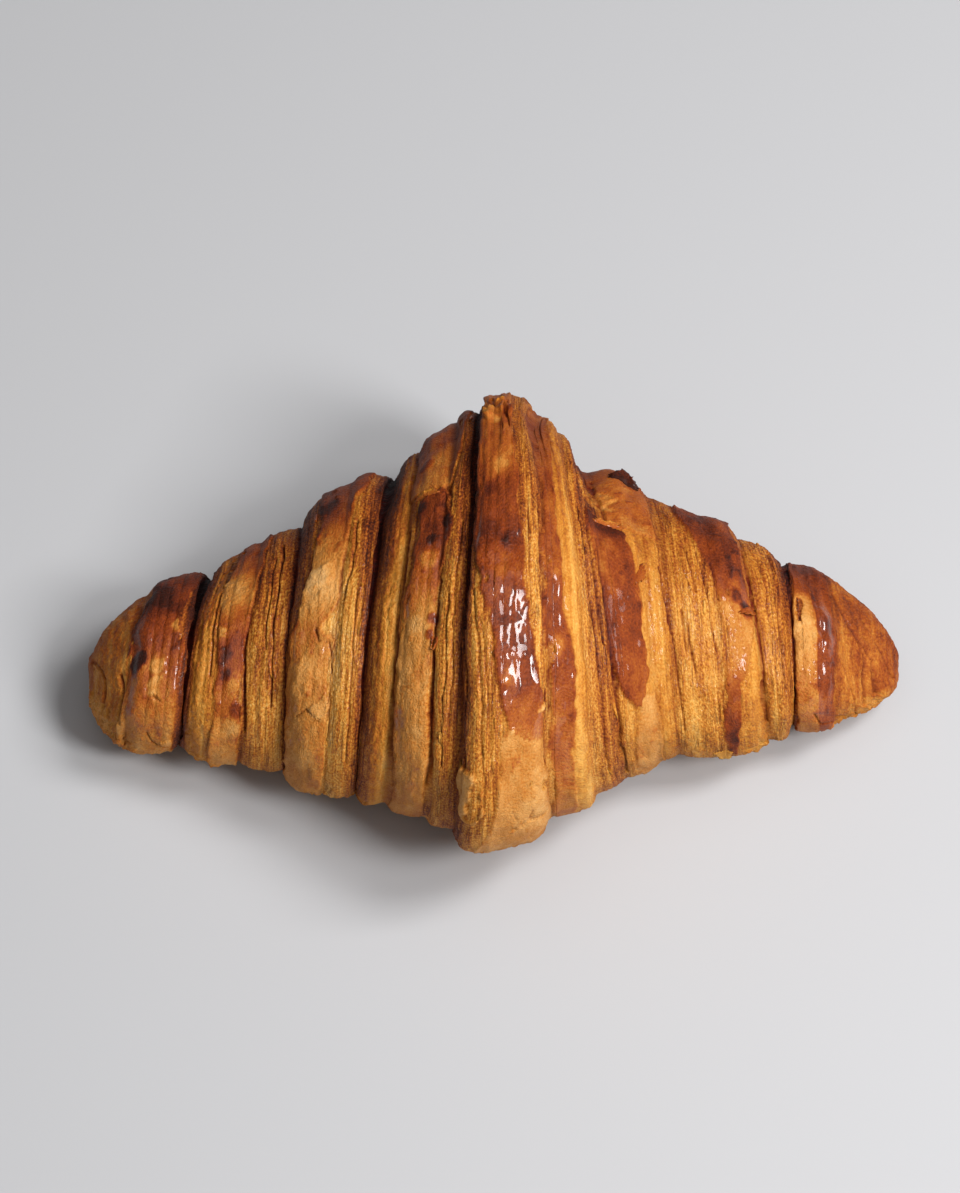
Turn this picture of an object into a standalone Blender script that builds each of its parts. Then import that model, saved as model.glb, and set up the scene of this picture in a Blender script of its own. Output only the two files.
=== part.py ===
"""A straight butter croissant: a triangle of laminated dough rolled up from its base and baked.

The food is one piece, so it is one closed solid, out to the crust of every wrap, with the grooves
between the wraps, both tips and the flat foot that it was baked on.

+X runs from the left tip to the right tip, -Y is the front and +Z is up. The origin is on the
table, under the middle of the croissant. Sizes are in millimetres until the last step.
"""

import math

import bmesh
import bpy
import numpy as np

# --- Driving sizes, in millimetres ---
METRES_PER_MM = 0.001
LENGTH = 150.0  # from tip to tip
HALF_LENGTH = LENGTH / 2
HALF_WIDTH = 44.6  # from the roll's axis to the front of the middle wrap
LIFT = 2.5  # how far the tips rise off the table
SWELL = 0.45  # how far the oven has swelled the roll unevenly
TONGUE_TIP = 1.6  # how far the end of the dough triangle stands out, low at the front
TONGUE_HALF_WIDTH = 9.0
WRAP_WIDTH = 14.0  # of a usual wrap, over which the roll's smooth body is averaged
CRUST_BLEND = 0.45  # how far two wraps blend where they meet

# --- Shares and exponents ---
FLATNESS = (0.70, 0.86)  # height over width of a section, at the middle and at the tips
SINK = 0.075  # share of a section's half height that the tray has pressed flat
SECTION_ROUNDNESS = 2.15  # a section's superellipse: 2 is an ellipse, more is boxier
ARCH_ROUNDNESS = 5.0  # a wrap's arch: more gives a flatter top and steeper sides
TAPER = 1.3  # how late along the roll the sections turn from the middle's kind to the tips'
LEFT_NOSE = (10.0, 2.4)  # length of the rounded end in millimetres, and its bluntness
RIGHT_NOSE = (19.0, 1.85)

# --- Turns round the roll: 0 faces the table, 90 the front, 180 up and 270 the back ---
FRONT = math.radians(150)  # where the places along the roll are measured
UNDERSIDE = math.radians(45)  # half of the arc that faces the table
TONGUE_ARC = (math.radians(30), math.radians(66))  # what the end of the triangle covers

# --- Mesh density ---
RINGS_A_WRAP = 5
AROUND = 54

# Each wrap of the roll, from the left tip to the right one: where it starts and ends along X, how
# far its crust lies from the axis at either end (shares of HALF_WIDTH), and the fall of its sides.
WRAPS = {
    "left_tip": (-76.0, -63.5, 0.30, 0.345, 3.0),
    "left_end": (-67.0, -55.7, 0.355, 0.395, 4.5),
    "left_outer": (-55.9, -43.5, 0.430, 0.480, 5.0),
    "left_outer_layers": (-46.0, -36.0, 0.480, 0.535, 2.5),
    "left_third": (-37.4, -27.0, 0.565, 0.660, 3.5),
    "left_third_layers": (-30.0, -21.9, 0.665, 0.700, 5.0),
    "left_second_lip": (-22.1, -16.5, 0.715, 0.755, 6.0),
    "left_second": (-18.3, -8.5, 0.795, 0.870, 3.0),
    "left_second_layers": (-11.0, -4.3, 0.880, 0.895, 6.0),
    "middle": (-4.9, 10.4, 1.000, 0.960, 5.5),
    "right_second": (8.0, 17.5, 0.872, 0.830, 2.5),
    "right_second_layers": (15.0, 22.3, 0.780, 0.725, 2.0),
    "right_third": (21.2, 29.5, 0.705, 0.645, 2.5),
    "right_third_skin": (26.5, 35.0, 0.615, 0.565, 2.0),
    "right_fourth": (33.5, 48.6, 0.560, 0.478, 2.5),
    "right_outer": (46.5, 54.9, 0.445, 0.398, 4.0),
    "right_end": (54.7, 64.0, 0.375, 0.370, 4.0),
    "right_tip": (61.5, 76.0, 0.355, 0.330, 2.0),
}

# How the wraps' edges lean as they wind round the roll: place along X, and the move along X in
# one full turn. The edges of both halves come closer to the middle as they climb the front.
LEAN = (
    (-75.0, 3.0), (-66.0, 9.0), (-55.8, 10.0), (-44.5, 8.0), (-36.6, 6.0), (-22.2, 14.0),
    (-9.8, 13.0), (-4.6, 10.0), (-1.5, 6.0), (7.0, -3.0), (10.2, -4.0), (15.0, -14.0),
    (21.5, -18.0), (33.5, -10.0), (43.0, -9.0), (50.0, -13.0), (54.8, -3.0), (63.0, -4.0),
    (75.0, -2.0),
)
LEAST_SPACING = 0.22  # of two edges at their tightest, as a share of their spacing at the front

# Where the roll's axis lies along Y: place along X, and depth. The right half is set back.
AXIS = (
    (-75.0, -1.8), (-56.0, -2.0), (-40.0, -0.4), (-28.0, 1.6), (-12.0, 1.0), (0.0, -0.8),
    (8.0, 1.2), (16.0, 3.0), (28.0, 4.4), (42.0, 3.4), (58.0, 2.2), (75.0, 2.6),
)


def nose(along):
    """How the roll closes at its tips: 1 along its length, falling to 0 at each end."""
    closed = np.ones_like(along)
    for side, (length, bluntness) in ((-1, LEFT_NOSE), (1, RIGHT_NOSE)):
        past = np.clip((side * along - (HALF_LENGTH - length)) / length, 0, 1)
        closed = closed * np.sqrt(1 - past**bluntness)
    return closed


def wrap_crusts(along):
    """The distance of each wrap's own crust from the axis, one row for each wrap."""
    rows = []
    for start, end, first, last, fall in WRAPS.values():
        share = (along - start) / (end - start)
        level = HALF_WIDTH * (first + (last - first) * np.clip(share, 0, 1))
        off_centre = np.abs(2 * share - 1)
        arch = np.sqrt(1 - np.clip(off_centre, 0, 1) ** ARCH_ROUNDNESS)
        outside = np.clip(off_centre - 1, 0, None) * (end - start) / 2
        rows.append(level - fall * (1 - arch) - fall * outside)
    return np.array(rows)


def crust_radius(along):
    """The distance of the crust from the axis, in the table's plane: the wraps as one surface."""
    blended = np.log(np.exp(wrap_crusts(along) / CRUST_BLEND).sum(axis=0))
    return CRUST_BLEND * blended * nose(along)


def body_radius(along):
    """The roll's smooth body without its grooves, which sets the height of its axis."""
    samples = 9
    offsets = np.linspace(-WRAP_WIDTH / 2, WRAP_WIDTH / 2, samples)
    inside = HALF_LENGTH - 1
    return np.mean([crust_radius(np.clip(along + step, -inside, inside)) for step in offsets], axis=0)


def uneven_swelling(along, turn):
    """Slow rises and falls of the crust, so that no two sections are alike."""
    a, t = along[:, None], turn[None, :]
    slow = np.sin(2 * t + a / 17) + 0.8 * np.sin(3 * t - a / 11 + 1.3)
    quick = 0.5 * np.sin(5 * t + a / 6 + 0.7)
    return SWELL * (slow + quick) * nose(along)[:, None]


def tongue_tip(along, turn):
    """The flat end of the dough triangle, which comes out from under the middle wrap."""
    start, end = TONGUE_ARC
    share_round = np.clip(np.abs(2 * (turn - start) / (end - start) - 1), 0, 1)
    share_across = np.clip(np.abs(along) / TONGUE_HALF_WIDTH, 0, 1)
    return TONGUE_TIP * np.outer(1 - share_across**6, 1 - share_round**4)


def winding(turn):
    """Turns made since the front. It comes back to its start across the underside."""
    start, end = UNDERSIDE, 2 * math.pi - UNDERSIDE
    low, high = (start - FRONT) / (2 * math.pi), (end - FRONT) / (2 * math.pi)
    past_start = np.where(turn < start, turn + 2 * math.pi, turn)
    back = high + (low - high) * (past_start - end) / (2 * UNDERSIDE)
    return np.where(past_start > end, back, (turn - FRONT) / (2 * math.pi))


def lean_along(along, turn):
    """X of the lines that start at along on the front, where they have wound round to turn."""
    places = np.array([place for place, _ in LEAN])
    moves = np.array([move for _, move in LEAN])
    lines = places[:, None] + moves[:, None] * winding(turn)[None, :]
    middle = int(np.argmin(np.abs(places)))
    for k in range(middle + 1, len(places)):
        least = LEAST_SPACING * (places[k] - places[k - 1])
        lines[k] = np.maximum(lines[k], lines[k - 1] + least)
    for k in range(middle - 1, -1, -1):
        least = LEAST_SPACING * (places[k + 1] - places[k])
        lines[k] = np.minimum(lines[k], lines[k + 1] - least)
    lines[0], lines[-1] = places[0], places[-1]
    return np.array([np.interp(along, places, line) for line in lines.T]).T


def roll_points(along, turn):
    """The crust at these places along the roll (rows) and turns round it (columns)."""
    end_share = (np.abs(along) / HALF_LENGTH) ** TAPER
    flatness = FLATNESS[0] + (FLATNESS[1] - FLATNESS[0]) * end_share
    height = body_radius(along) * flatness * (1 - SINK) + LIFT * end_share**2
    depth = np.interp(along, [place for place, _ in AXIS], [y for _, y in AXIS])
    crust = crust_radius(along)[:, None] + uneven_swelling(along, turn) + tongue_tip(along, turn)
    across, up = -np.sin(turn)[None, :], -np.cos(turn)[None, :]
    section = np.abs(across) ** SECTION_ROUNDNESS
    section = section + np.abs(up / flatness[:, None]) ** SECTION_ROUNDNESS
    reach = crust / section ** (1 / SECTION_ROUNDNESS)
    x = lean_along(along, turn)
    y = depth[:, None] + reach * across
    z = np.maximum(height[:, None] + reach * up, 0.0)
    return np.stack([x, y, z], axis=-1)


def ring_places():
    """Where the mesh's rings lie: evenly within each stretch between two wraps' edges."""
    edges = [-HALF_LENGTH] + [start for start, *_ in WRAPS.values()][1:] + [HALF_LENGTH]
    places = [np.linspace(a, b, RINGS_A_WRAP, endpoint=False) for a, b in zip(edges, edges[1:])]
    return np.append(np.concatenate(places), HALF_LENGTH)


def build_croissant(collection, material):
    """A ball whose poles are the tips: its rings slide along the roll and out to the crust."""
    places = ring_places()
    spans = len(places) - 1
    turns = np.arange(AROUND) * 2 * math.pi / AROUND
    points = roll_points(places, turns) * METRES_PER_MM
    low, high = points.min(axis=(0, 1)), points.max(axis=(0, 1))
    points -= [(low[0] + high[0]) / 2, (low[1] + high[1]) / 2, low[2]]
    mesh = bmesh.new()
    bmesh.ops.create_uvsphere(mesh, u_segments=AROUND, v_segments=spans, radius=1)
    for vertex in mesh.verts:
        polar = math.acos(max(-1.0, min(1.0, -vertex.co.z)))
        azimuth = math.atan2(vertex.co.y, vertex.co.x)
        ring = round(polar / math.pi * spans)
        column = round(azimuth / (2 * math.pi) * AROUND) % AROUND
        vertex.co = points[ring, column]
    bmesh.ops.recalc_face_normals(mesh, faces=mesh.faces)
    data = bpy.data.meshes.new("croissant")
    mesh.to_mesh(data)
    mesh.free()
    data.materials.append(material)
    data.shade_smooth()
    croissant = bpy.data.objects.new("croissant", data)
    collection.objects.link(croissant)


def baked_crust():
    """Egg-washed crust: golden brown, half glossy and not metallic."""
    material = bpy.data.materials.new("baked_crust")
    material.use_nodes = True
    shader = material.node_tree.nodes["Principled BSDF"]
    shader.inputs["Base Color"].default_value = (0.42, 0.17, 0.045, 1.0)
    shader.inputs["Roughness"].default_value = 0.45
    shader.inputs["Metallic"].default_value = 0.0
    return material


def main():
    for old in list(bpy.data.objects):
        bpy.data.objects.remove(old)
    collection = bpy.data.collections.new("croissant")
    bpy.context.scene.collection.children.link(collection)
    build_croissant(collection, baked_crust())


main()
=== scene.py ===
# %% [markdown]
# # A butter croissant, straight and freshly baked
# The construction of the croissant is fixed already: one closed solid, at its real size, called
# the frame here. This notebook makes its looks: the rolled wraps, the torn and glazed skins, the
# thin leaves of dough between them, the loose flakes, and the colour that the oven gave them.
#
# Lengths are in millimetres in the tables below and in metres on the objects. +X runs along the
# roll to its right tip, -Y is the front and +Z is up.

# %% Load the frame
import math

import bpy
import numpy as np
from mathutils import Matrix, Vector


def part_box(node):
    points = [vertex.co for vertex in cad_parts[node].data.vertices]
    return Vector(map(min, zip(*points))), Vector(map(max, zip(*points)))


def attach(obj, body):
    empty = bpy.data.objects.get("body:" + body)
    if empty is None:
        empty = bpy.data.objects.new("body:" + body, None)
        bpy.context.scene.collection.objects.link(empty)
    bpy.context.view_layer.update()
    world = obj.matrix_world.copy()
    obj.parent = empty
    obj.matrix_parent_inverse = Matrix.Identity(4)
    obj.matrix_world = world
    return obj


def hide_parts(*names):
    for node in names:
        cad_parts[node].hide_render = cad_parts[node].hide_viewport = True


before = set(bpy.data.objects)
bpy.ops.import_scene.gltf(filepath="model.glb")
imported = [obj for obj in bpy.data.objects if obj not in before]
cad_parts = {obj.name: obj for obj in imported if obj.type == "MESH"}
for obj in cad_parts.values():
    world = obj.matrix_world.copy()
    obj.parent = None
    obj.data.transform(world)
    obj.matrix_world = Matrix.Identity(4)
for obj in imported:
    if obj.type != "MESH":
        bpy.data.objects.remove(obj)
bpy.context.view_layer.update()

MM = 0.001
low, high = (np.array(corner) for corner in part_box("croissant"))
HALF_LENGTH = (high[0] - low[0]) / 2 / MM
HALF_WIDTH = (high[1] - low[1]) / 2 / MM + 0.3
print(f"croissant: {2 * HALF_LENGTH:.1f} mm long, {2 * HALF_WIDTH:.1f} mm wide")

# %% [markdown]
# ## The roll and its own coordinates
# A croissant is a long triangle of dough rolled up from its base. Everything on it runs round the
# roll: the wraps' edges, the skins, the leaves of dough. So every place on it is named by two
# numbers. `along` is the place along the roll in millimetres, read on the front, and `turn` is
# the angle round it: 0 faces the table, 90 the front, 180 up and 270 the back.
#
# The wraps could be modelled one by one as bent strips. One surface over (along, turn) is easier to
# keep closed: each wrap is an arch in the roll's profile, and the highest arch wins, so the grooves
# appear where two arches meet.

# %% The wraps: start, end, crust at either end (share of the width), fall of the sides, boxiness
FRONT = math.radians(150)
UNDERSIDE = math.radians(45)
WRAPS = {
    "left_tip": (-76.0, -65.0, 0.290, 0.350, 3.0, 4.0),
    "left_end": (-67.2, -55.9, 0.365, 0.400, 5.0, 2.6),
    "left_outer": (-55.7, -43.8, 0.435, 0.490, 6.0, 2.5),
    "left_outer_layers": (-46.5, -36.3, 0.480, 0.535, 4.0, 2.6),
    "left_third": (-37.3, -26.0, 0.595, 0.670, 5.5, 2.5),
    "left_third_layers": (-29.8, -21.7, 0.660, 0.690, 6.0, 2.3),
    "left_second_lip": (-22.5, -15.6, 0.730, 0.780, 6.5, 2.3),
    "left_second": (-17.6, -9.0, 0.800, 0.880, 4.5, 2.6),
    "left_second_layers": (-11.0, -4.2, 0.885, 0.895, 7.0, 2.6),
    "middle": (-5.2, 9.5, 1.000, 0.960, 6.5, 5.0),
    "right_second": (6.8, 15.6, 0.895, 0.842, 2.2, 5.0),
    "right_second_layers": (14.2, 20.8, 0.805, 0.725, 1.8, 2.6),
    "right_third": (19.8, 28.2, 0.728, 0.648, 2.0, 2.8),
    "right_third_layers": (26.6, 32.2, 0.642, 0.588, 1.5, 2.6),
    "right_fourth_layers": (31.2, 41.6, 0.588, 0.540, 1.5, 2.8),
    "right_fourth": (40.8, 48.3, 0.555, 0.485, 2.0, 2.6),
    "right_outer": (47.2, 54.9, 0.462, 0.405, 4.5, 2.6),
    "right_end": (54.7, 64.0, 0.378, 0.372, 4.5, 2.5),
    "right_tip": (60.5, 76.0, 0.378, 0.270, 2.0, 4.0),
}

# Rising dough filled most grooves again. Four stayed open: place, share open above and near the table
GROOVES = ((-55.7, 0.22, 0.3), (-22.3, 0.38, 0.1), (-4.7, 0.42, 0.1), (54.8, 0.1, 0.35))


def smooth(value, start, end):
    """0 before start, 1 after end, and an even slope between them."""
    share = np.clip((value - start) / (end - start), 0, 1)
    return share * share * (3 - 2 * share)


def nose(along):
    """How the roll closes at its tips: 1 along its length, falling to 0 at each end."""
    closed = np.ones_like(along)
    for side, length, bluntness in ((-1, 12.0, 2.2), (1, 19.0, 1.8)):
        past = np.clip((side * along - (HALF_LENGTH - length)) / length, 0, 1)
        closed = closed * np.sqrt(1 - past**bluntness)
    return closed


def crust_radius(along, blend=0.3):
    """How far the crust lies from the roll's axis: the highest of the wraps' arches."""
    arches = []
    for start, end, first, last, fall, boxiness in WRAPS.values():
        share = (along - start) / (end - start)
        level = HALF_WIDTH * (first + (last - first) * np.clip(share, 0, 1))
        off_centre = np.abs(2 * share - 1)
        arch = np.sqrt(1 - np.clip(off_centre, 0, 1) ** boxiness)
        outside = np.clip(off_centre - 1, 0, None) * (end - start) / 2
        arches.append(level - fall * (1 - arch) - fall * outside)
    return blend * np.log(np.exp(np.array(arches) / blend).sum(axis=0)) * nose(along)


def groove_depth(along, reach=2.8):
    """How far the crust lies below the lower of the two shoulders beside it."""
    steps = np.linspace(-reach, reach, 11)
    near = crust_radius(along[:, None, None] + steps[:, None] + steps)
    return np.maximum(near.max(axis=2).min(axis=1) - crust_radius(along), 0)


def groove_fill(along, turn):
    """What the rising dough filled of the grooves, in millimetres: more near the table than above."""
    degrees = np.degrees(turn)
    low = smooth(degrees, 150, 115) + smooth(degrees, 232, 262)
    above, below = (np.max([row[column] * np.exp(-((along - row[0]) / 2.5)**2) for row in GROOVES],
                           axis=0)[:, None] for column in (1, 2))
    share = 0.88 * (1 - above) * (1 - low) + 1.0 * (1 - below) * low
    return share * groove_depth(along)[:, None]


def body_radius(along):
    """The smooth body under the grooves, averaged over the width of a wrap."""
    inside = HALF_LENGTH - 1
    steps = np.linspace(-7, 7, 9)
    return np.mean([crust_radius(np.clip(along + step, -inside, inside)) for step in steps], axis=0)


# %% How the edges lean as they wind round, and where the roll's axis lies
LEAN = (
    (-75.0, 3.0), (-66.0, 9.0), (-55.8, 10.0), (-44.5, 8.0), (-36.6, 6.0), (-22.2, 14.0),
    (-9.8, 13.0), (-4.6, 10.0), (-1.5, 6.0), (7.0, -3.0), (10.2, -4.0), (15.0, -14.0),
    (21.5, -18.0), (33.5, -10.0), (43.0, -9.0), (50.0, -13.0), (54.8, -3.0), (63.0, -4.0),
    (75.0, -2.0),
)
AXIS = (
    (-75.0, -3.0), (-71.0, -3.2), (-66.0, -2.6), (-60.0, -2.0), (-40.0, -0.4), (-28.0, 1.2),
    (-12.0, 0.4), (0.0, -0.8), (8.0, 1.2), (16.0, 3.0), (28.0, 4.2), (42.0, 3.0), (58.0, 2.2),
    (62.0, 2.0), (66.0, 1.6), (70.0, 1.4), (75.0, 1.4),
)


def read(table, places, column=1):
    """A column of a table by its first column, with straight lines between the rows."""
    rows = np.array(table, dtype=float)
    return np.interp(places, rows[:, 0], rows[:, column])


def winding(turn):
    """Turns made since the front, coming back to the start across the underside."""
    start, end = UNDERSIDE, 2 * math.pi - UNDERSIDE
    first, last = (start - FRONT) / (2 * math.pi), (end - FRONT) / (2 * math.pi)
    past_start = np.where(turn < start, turn + 2 * math.pi, turn)
    under = last + (first - last) * (past_start - end) / (2 * UNDERSIDE)
    return np.where(past_start > end, under, (turn - FRONT) / (2 * math.pi))


def lean_along(along, turn, least=0.22):
    """X of the lines that start at along on the front, once they have wound round to turn."""
    places = np.array([place for place, _ in LEAN])
    lines = places[:, None] + np.array([move for _, move in LEAN])[:, None] * winding(turn)
    middle = int(np.argmin(np.abs(places)))
    for k in range(middle + 1, len(places)):
        lines[k] = np.maximum(lines[k], lines[k - 1] + least * (places[k] - places[k - 1]))
    for k in range(middle - 1, -1, -1):
        lines[k] = np.minimum(lines[k], lines[k + 1] - least * (places[k + 1] - places[k]))
    lines[0], lines[-1] = places[0], places[-1]
    return np.array([np.interp(along, places, line) for line in lines.T]).T


# %% [markdown]
# ## One fine grid over the whole roll
# The leaves of dough are less than a millimetre thick, so the grid needs a row every fifth of a
# millimetre, counted over the arches and down into the grooves and not straight along the axis.
# Round the roll it needs less, because everything there is drawn out by the rolling. The underside
# is flat and plain and gets the fewest.

# %% Rows along the roll and columns round it
ROW_STEP = 0.21
fine = np.linspace(-HALF_LENGTH, HALF_LENGTH, 12001)
half_filled = crust_radius(fine) + 0.6 * groove_depth(fine)
climb = np.hypot(np.diff(fine), 0.85 * np.diff(half_filled))
path = np.concatenate([[0], np.cumsum(climb)])
rows = int(path[-1] / ROW_STEP)
along_rows = np.interp(np.linspace(0, path[-1], rows), path, fine)
turn_columns = np.radians(np.concatenate([
    np.arange(-40, 46, 2.0), np.arange(46, 262, 0.75), np.arange(262, 319.9, 1.5)]))
ALONG = np.repeat(along_rows[:, None], len(turn_columns), axis=1)
SPAN = np.repeat(ROW_STEP * np.arange(rows)[:, None], len(turn_columns), axis=1)
TURN = np.repeat(turn_columns[None, :], rows, axis=0)
TURN_DEGREES = np.degrees(TURN)
print(f"{rows} rows of {len(turn_columns)} points")


# %% The base surface: squashed rings on the axis, pressed flat where they lay on the tray
def roll_points(along, turn):
    """The smooth crust at these places (rows) and turns (columns), in millimetres."""
    end_share = (np.abs(along) / HALF_LENGTH) ** 1.3
    flatness = 0.70 + 0.16 * end_share
    height = body_radius(along) * flatness * 0.925 + 2.5 * end_share**2
    a, t = along[:, None], turn[None, :]
    swell = np.sin(2 * t + a / 17) + 0.8 * np.sin(3 * t - a / 11 + 1.3)
    swell = swell + 0.5 * np.sin(5 * t + a / 6 + 0.7)
    crust = crust_radius(along)[:, None] + groove_fill(along, turn)
    crust = crust + 0.45 * swell * nose(along)[:, None]
    across, up = -np.sin(t), -np.cos(t)
    section = np.abs(across) ** 2.15 + np.abs(up / flatness[:, None]) ** 2.15
    reach = crust / section ** (1 / 2.15)
    x = lean_along(along, turn)
    y = read(AXIS, along)[:, None] + reach * across
    z = height[:, None] + reach * up
    return np.stack([x, y, z], axis=-1)


def outward(points):
    """The direction out of the surface at every point of a grid that closes round the roll."""
    lengthwise = np.gradient(points, axis=0)
    crosswise = np.roll(points, -1, axis=1) - np.roll(points, 1, axis=1)
    normal = np.cross(lengthwise, crosswise)
    return normal / np.maximum(np.linalg.norm(normal, axis=-1, keepdims=True), 1e-9)


base = roll_points(along_rows, turn_columns)
normals = outward(base)
around_step = np.linalg.norm(np.diff(base, axis=1, append=base[:, :1]), axis=-1)
AROUND = np.cumsum(around_step, axis=1)
AROUND = AROUND - AROUND[:, [int(np.argmin(np.abs(turn_columns - FRONT)))]]
MM_A_DEGREE = 0.85 * np.radians(np.maximum(crust_radius(along_rows), 8.0))[:, None]
print("the way round the middle:", round(float(around_step[rows // 2].sum())), "mm")


# %% [markdown]
# ## Chance, with a seed
# Dough tears and swells by chance. Blender has noise textures, but those only reach the material,
# and here the shape needs them. A small table of random heights with smooth slopes between them
# gives hills of any size, and stretching them along the roll's turns gives streaks.

# %% Random hills
def hills(x, y, seed):
    """Smooth random hills, about one to a unit each way, between -1 and 1."""
    table = np.random.default_rng(seed).uniform(-1, 1, (256, 256))
    column, row = np.floor(x).astype(int), np.floor(y).astype(int)
    u, v = x - column, y - row
    u, v = u * u * (3 - 2 * u), v * v * (3 - 2 * v)
    near = table[column % 256, row % 256] * (1 - u) + table[(column + 1) % 256, row % 256] * u
    far = table[column % 256, (row + 1) % 256] * (1 - u)
    far = far + table[(column + 1) % 256, (row + 1) % 256] * u
    return near * (1 - v) + far * v


def rough(x, y, seed, octaves=3):
    """Hills with smaller hills on them."""
    return sum(hills(x * 2**k + 0.37 * k, y * 2**k, seed + k) / 2**k for k in range(octaves))


# %% [markdown]
# ## The leaves of laminated dough
# Folding butter into the dough gives dozens of thin leaves. Where the knife cut the triangle they
# show as long threads beside each other, some proud, some sunk, with dark gaps between them. Each
# leaf gets its own height and its own colour, which change slowly along its length, and its line
# wanders a little, so that leaves run out and new ones begin.

# %% Leaves: height, tone and the dark gaps between them
def leaves(width, seed, wander):
    """Height and tone of leaves of this width in millimetres, and where the gaps are."""
    drift = rough(SPAN / 9, AROUND / 30, seed) + 0.20 * rough(SPAN / 2.2, AROUND / 8, seed + 5, 2)
    leaf = SPAN / width + wander * drift
    index = np.floor(leaf)
    share = leaf - index
    this_one = hills(index * 7.31, AROUND / 24, seed + 7)
    next_one = hills((index + 1) * 7.31, AROUND / 24, seed + 7)
    tone = hills(index * 3.17, AROUND / 20, seed + 9)
    next_tone = hills((index + 1) * 3.17, AROUND / 20, seed + 9)
    edge = smooth(share, 0.74, 0.98)
    gap = smooth(np.abs(share - 0.84), 0.17, 0.03) * smooth(np.abs(next_one - this_one), 0.1, 0.8)
    gap = gap * smooth(hills(index * 5.3, AROUND / 6, seed + 11), -0.3, 0.6)
    height = this_one * (1 - edge) + next_one * edge
    return height, tone * (1 - edge) + next_tone * edge, gap


broad_height, broad_tone, broad_gap = leaves(0.82, 11, 1.3)
thin_height, thin_tone, thin_gap = leaves(0.44, 31, 1.8)
pebbles = rough(SPAN / 0.62, AROUND / 0.85, 51, 2)
# along the roll: place, relief of the leaves, browning, pebbles; the browning that peaks at the
# grooves near -56, -37, -22, -5 and 55 is painted shade
LEAF_ZONES = (
    (-75, 0.2, 0.52, 1.4), (-68.5, 0.2, 0.50, 1.4), (-67, 0.5, 0.48, 1), (-57.4, 0.5, 0.62, 1),
    (-56.4, 0.5, 0.80, 1), (-55.0, 0.5, 0.74, 1), (-54.2, 0.3, 0.46, 1.6), (-52, 0.3, 0.40, 1.6),
    (-50.5, 0.6, 0.48, 1), (-45, 0.9, 0.54, 1), (-43, 1.1, 0.50, 1), (-40.5, 1.2, 0.50, 1),
    (-38.4, 0.9, 0.38, 1), (-37.2, 1.1, 0.60, 1), (-35.5, 1.0, 0.62, 1), (-33.5, 0.8, 0.55, 1),
    (-30.5, 0.6, 0.26, 1.4), (-27.8, 0.9, 0.26, 1.2), (-25.5, 1.1, 0.44, 1), (-23.6, 1.1, 0.62, 1),
    (-22, 1.0, 0.72, 1), (-20.6, 0.6, 0.60, 1.4), (-19.4, 0.3, 0.54, 1.6), (-18, 0.3, 0.34, 1.6),
    (-16.8, 0.4, 0.5, 1.4), (-10.5, 0.9, 0.42, 1), (-8.5, 0.8, 0.42, 1.3), (-6.5, 1.0, 0.56, 1),
    (-5, 1.1, 0.74, 1), (-3.2, 0.8, 0.50, 1.2), (2, 0.7, 0.44, 1.2), (5, 0.8, 0.42, 1.2),
    (8, 0.9, 0.44, 1.2), (12, 0.4, 0.42, 1.3), (14.5, 0.35, 0.36, 1.5), (16.8, 0.9, 0.44, 1),
    (18, 1.2, 0.60, 0.8), (20.2, 1.2, 0.60, 0.8), (22, 0.6, 0.44, 1), (27, 0.35, 0.38, 1.5),
    (30, 0.4, 0.40, 1.5), (33, 0.7, 0.46, 1.3), (36, 0.6, 0.40, 1.4), (39, 0.7, 0.44, 1.3),
    (42, 0.8, 0.50, 1), (47.5, 0.35, 0.44, 1.4), (49.5, 0.6, 0.42, 1.4), (52, 0.9, 0.46, 1.1),
    (54.2, 0.9, 0.56, 1), (55.2, 0.9, 0.66, 1), (56, 0.8, 0.55, 1), (63.5, 0.3, 0.60, 1.3),
    (66, 0.5, 0.52, 1.5), (69, 0.5, 0.58, 1.5), (72, 0.4, 0.62, 1.4), (75, 0.2, 0.64, 1.3),
)
zone_relief, zone_bake_and_groove_shade, zone_pebbles = (read(LEAF_ZONES, ALONG, column) for column in (1, 2, 3))
leaf_relief = zone_relief * (0.11 * broad_height + 0.08 * thin_height - 0.07 * broad_gap)
leaf_relief = leaf_relief - 0.08 * zone_relief * thin_gap + 0.09 * zone_pebbles * pebbles
leaf_gaps = np.clip(zone_relief * (0.6 * broad_gap + 0.6 * thin_gap), 0, 1)

# %% [markdown]
# ## The skins
# Between the cut edges lies the outside of the dough sheet. It was brushed with egg, so it baked
# smooth, brown and glossy, and it tore where the layers under it rose. Each skin is an outline: at
# a few turns, its left and right edge and how brown it is there. Chance frays the edges. The skin
# stands half a millimetre over the leaves, and its rim curls up a little.

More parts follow.
